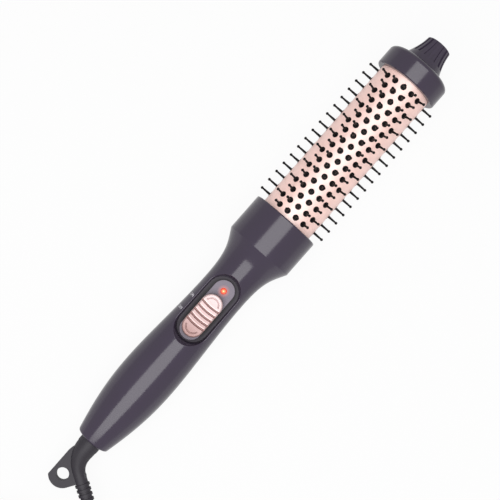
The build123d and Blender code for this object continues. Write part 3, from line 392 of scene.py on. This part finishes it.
# Switch marks
# ON and OFF are pad printed in white ink on the shell's flank, beside the two ends of the knob's travel.
# Each is flat lettering, laid round the handle and given the ink's thickness.
ink_material, ink_tree, ink_shader = new_material("white_pad_print_ink", Roughness=0.45, IOR=1.5)
add_skin(
    ink_tree, ink_shader, brush_coordinates(ink_tree), grain_mm=0.3, height_mm=0.001,
    base="D6D2D8", shift="DEDAE0")
shell_mesh = nodes["handle_front_shell"].data
shell_surface = BVHTree.FromPolygons(
    [vertex.co for vertex in shell_mesh.vertices], [face.vertices for face in shell_mesh.polygons])
letter_size = 0.0028
letter_spacing = 1.15
same_point = 1e-6
ink_thickness = 0.00005
flank_angle = math.radians(60)
flank_radius = 0.0172
clear_of_shell = 0.05
for word, word_place in (("OFF", 0.1031), ("ON", 0.1141)):
    letters = bpy.data.curves.new(word, "FONT")
    letters.body = word
    letters.size = letter_size
    letters.space_character = letter_spacing
    letters.align_x = "CENTER"
    letters.align_y = "CENTER"
    flat_word = bpy.data.objects.new(word, letters)
    print_mesh = bpy.data.meshes.new_from_object(flat_word)
    bpy.data.objects.remove(flat_word)
    outline = bmesh.new()
    outline.from_mesh(print_mesh)
    bmesh.ops.remove_doubles(outline, verts=outline.verts, dist=same_point)
    raised = bmesh.ops.extrude_face_region(outline, geom=outline.faces[:])["geom"]
    tops = {vert for vert in raised if isinstance(vert, bmesh.types.BMVert)}
    for vert in outline.verts:
        # Each point goes round the handle, and then straight in to the shell
        round_handle = flank_angle - vert.co.x / flank_radius
        outward = Vector((0, math.sin(round_handle), math.cos(round_handle)))
        far = lie @ (Vector((word_place + vert.co.y, 0, 0)) + outward * clear_of_shell)
        outward = lie.to_3x3() @ outward
        hit = shell_surface.ray_cast(far, -outward)[0]
        vert.co = hit + outward * (ink_thickness if vert in tops else -ink_thickness)
    bmesh.ops.recalc_face_normals(outline, faces=outline.faces)
    outline.to_mesh(print_mesh)
    outline.free()
    print_mesh.materials.clear()
    print_mesh.materials.append(ink_material)
    mark = bpy.data.objects.new("mark_" + word.lower(), print_mesh)
    scene.collection.objects.link(mark)
    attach(mark, "brush")

# Metal pieces
# Plated steel screws and the fuse's case, plated plug blades, brass slip rings and spring contacts, and
# the two extruded aluminium spreaders round the heater.
for name, colour, rough, members in (
    ("zinc_plated_steel", "B9B9BD", 0.35, ["shell_screws", "tip_screws", "board_screws", "thermal_fuse"]),
    ("nickel_plated_brass", "D2CFC6", 0.22, ["plug_blades"]),
    ("bright_brass", "D9B36A", 0.25, ["slip_rings", "contact_brushes"]),
    ("extruded_aluminium", "C9CACC", 0.4, ["heat_spreader_front", "heat_spreader_back"]),
):
    metal_material, metal_tree, metal_shader = new_material(name, Metallic=1.0, Roughness=rough)
    add_skin(
        metal_tree, metal_shader, brush_coordinates(metal_tree), grain_mm=0.5, height_mm=0.002,
        base=colour, shift=colour)
    paint(members, metal_material)

# Small electrical pieces
# The board of green laminate with its parts, the ceramic heater in amber film, the leads in silicone
# rubber and the black housing of the slide switch.
for name, colour, rough, members in (
    ("green_board_laminate", "2F6B3E", 0.4, ["circuit_board"]),
    ("tan_ceramic", "B9A98C", 0.6, ["ptc_heater", "board_parts"]),
    ("amber_film", "B9772A", 0.3, ["insulating_films"]),
    ("silicone_insulation", "D8D4CC", 0.5, ["heater_leads", "supply_leads"]),
    ("black_switch_housing", "26262A", 0.45, ["slide_switch"]),
):
    plain_material, plain_tree, plain_shader = new_material(name, Roughness=rough, IOR=1.5)
    add_skin(
        plain_tree, plain_shader, brush_coordinates(plain_tree), grain_mm=0.5, height_mm=0.003,
        base=colour, shift=colour)
    paint(members, plain_material)

# Studio
# A white table, one long soft box above the brush and along it, and an even white room. The table and
# the room are plain white to the camera, and pale grey in the pieces that mirror them.
table_side = 8
table_seen = 0.93
table_mirrored = 0.5
bpy.ops.mesh.primitive_plane_add(size=table_side, location=(0, 0, 0))
floor = bpy.context.object
floor.name = "table"
floor_material, floor_tree, floor_shader = new_material("white_table", Roughness=0.9)
floor_shader.inputs["Base Color"].default_value = linear("D2D2D2")
floor_ray = add_node(floor_tree, "ShaderNodeLightPath")
white_share = add_node(
    floor_tree, "ShaderNodeMath", {0: floor_ray.outputs["Is Camera Ray"], 1: table_seen},
    operation="MULTIPLY")
for ray in ("Is Glossy Ray", "Is Transmission Ray"):
    mirrored = add_node(
        floor_tree, "ShaderNodeMath", {0: floor_ray.outputs[ray], 1: table_mirrored}, operation="MULTIPLY")
    white_share = add_node(floor_tree, "ShaderNodeMath", {0: white_share, 1: mirrored}, operation="MAXIMUM")
white = add_node(floor_tree, "ShaderNodeEmission", {"Color": "FFFFFF", "Strength": 1.0})
blend = add_node(floor_tree, "ShaderNodeMixShader", {0: white_share, 1: floor_shader, 2: white})
floor_tree.links.new(blend.outputs["Shader"], floor_tree.nodes["Material Output"].inputs["Surface"])
floor.data.materials.append(floor_material)

room_level = 0.46
room_seen = 1.0
room_mirrored = 0.65
world = bpy.data.worlds.new("white_room")
scene.world = world
world.use_nodes = True
world_tree = world.node_tree
background = world_tree.nodes["Background"]
background.inputs["Color"].default_value = linear("FFFFFF")
world_ray = add_node(world_tree, "ShaderNodeLightPath")
strength = room_level
for ray, level in (
    ("Is Camera Ray", room_seen), ("Is Glossy Ray", room_mirrored), ("Is Transmission Ray", room_mirrored),
):
    ray_level = add_node(
        world_tree, "ShaderNodeMath", {0: world_ray.outputs[ray], 1: level}, operation="MULTIPLY")
    strength = add_node(world_tree, "ShaderNodeMath", {0: ray_level, 1: strength}, operation="MAXIMUM")
world_tree.links.new(strength.outputs["Value"], background.inputs["Strength"])

box_length = 1.35
box_width = 0.8
box_watts = 10.0
box_place = Vector((-0.075, -0.05, 0.9))
box_data = bpy.data.lights.new("soft_box", "AREA")
box_data.shape = "RECTANGLE"
box_data.size = box_length
box_data.size_y = box_width
box_data.energy = box_watts
soft_box = bpy.data.objects.new("soft_box", box_data)
scene.collection.objects.link(soft_box)
soft_box.matrix_world = lie @ Matrix.Translation(box_place)
